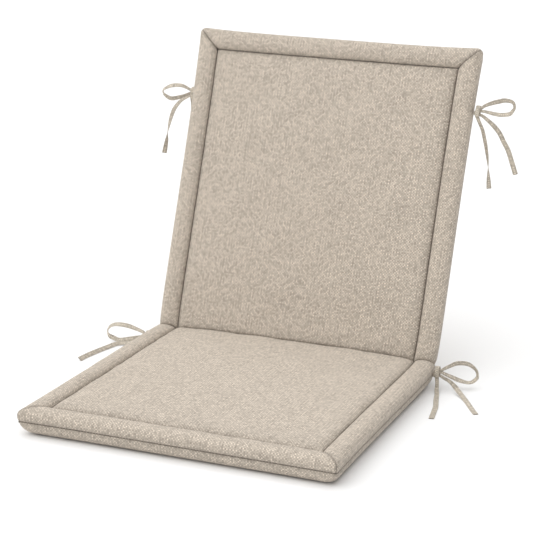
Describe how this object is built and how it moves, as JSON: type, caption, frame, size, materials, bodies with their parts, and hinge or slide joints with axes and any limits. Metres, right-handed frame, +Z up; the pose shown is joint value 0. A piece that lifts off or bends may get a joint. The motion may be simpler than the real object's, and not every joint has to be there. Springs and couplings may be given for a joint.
{
  "type": "chair seat pad",
  "caption": "Padded seat and back cushion in one, hinged at a sewn-through fold, with narrow fabric ties at its edges to fasten it to a chair.",
  "frame": {"origin": "on the floor, under the middle of the two pads, the ties left out", "axes": "+X to the right as seen from the seat's front, +Y from the seat's front edge towards the back, +Z up"},
  "size_m": [0.6802, 0.682, 0.5149],
  "materials": {
    "panel_cloth": "matte heathered plain weave",
    "border_cloth": "matte heathered plain weave",
    "underside_cloth": "matte heathered plain weave",
    "tie_cloth": "matte folded and stitched weave",
    "foam": "open cell foam",
    "fibre": "loose polyester fibre"
  },
  "bodies": {
    "seat": {"seat_centre_panel": "panel_cloth", "seat_border_left": "border_cloth", "seat_border_right": "border_cloth", "seat_border_front": "border_cloth", "seat_base_panel": "underside_cloth", "seat_foam_core": "foam", "seat_border_fill_left": "fibre", "seat_border_fill_right": "fibre", "seat_border_fill_front": "fibre", "fold_seam_web": "border_cloth", "tie_lower_left_root": "tie_cloth", "tie_lower_left_knot": "tie_cloth", "tie_lower_left_loop": "tie_cloth", "tie_lower_left_wrap_tail": "tie_cloth", "tie_lower_left_loop_tail": "tie_cloth", "tie_lower_right_root": "tie_cloth", "tie_lower_right_knot": "tie_cloth", "tie_lower_right_loop": "tie_cloth", "tie_lower_right_wrap_tail": "tie_cloth", "tie_lower_right_loop_tail": "tie_cloth"},
    "back": {"back_centre_panel": "panel_cloth", "back_border_left": "border_cloth", "back_border_right": "border_cloth", "back_border_top": "border_cloth", "back_rear_panel": "underside_cloth", "back_foam_core": "foam", "back_border_fill_left": "fibre", "back_border_fill_right": "fibre", "back_border_fill_top": "fibre", "tie_upper_left_root": "tie_cloth", "tie_upper_left_knot": "tie_cloth", "tie_upper_left_loop": "tie_cloth", "tie_upper_left_wrap_tail": "tie_cloth", "tie_upper_left_loop_tail": "tie_cloth", "tie_upper_right_root": "tie_cloth", "tie_upper_right_knot": "tie_cloth", "tie_upper_right_loop": "tie_cloth", "tie_upper_right_wrap_tail": "tie_cloth", "tie_upper_right_loop_tail": "tie_cloth"}
  },
  "joints": [
    {"name": "fold_hinge", "type": "hinge", "parent": "seat", "child": "back", "pos_m": [0, 0.143, 0.031], "axis": [1, 0, 0], "range_deg": [-69.75, 74]}
  ]
}
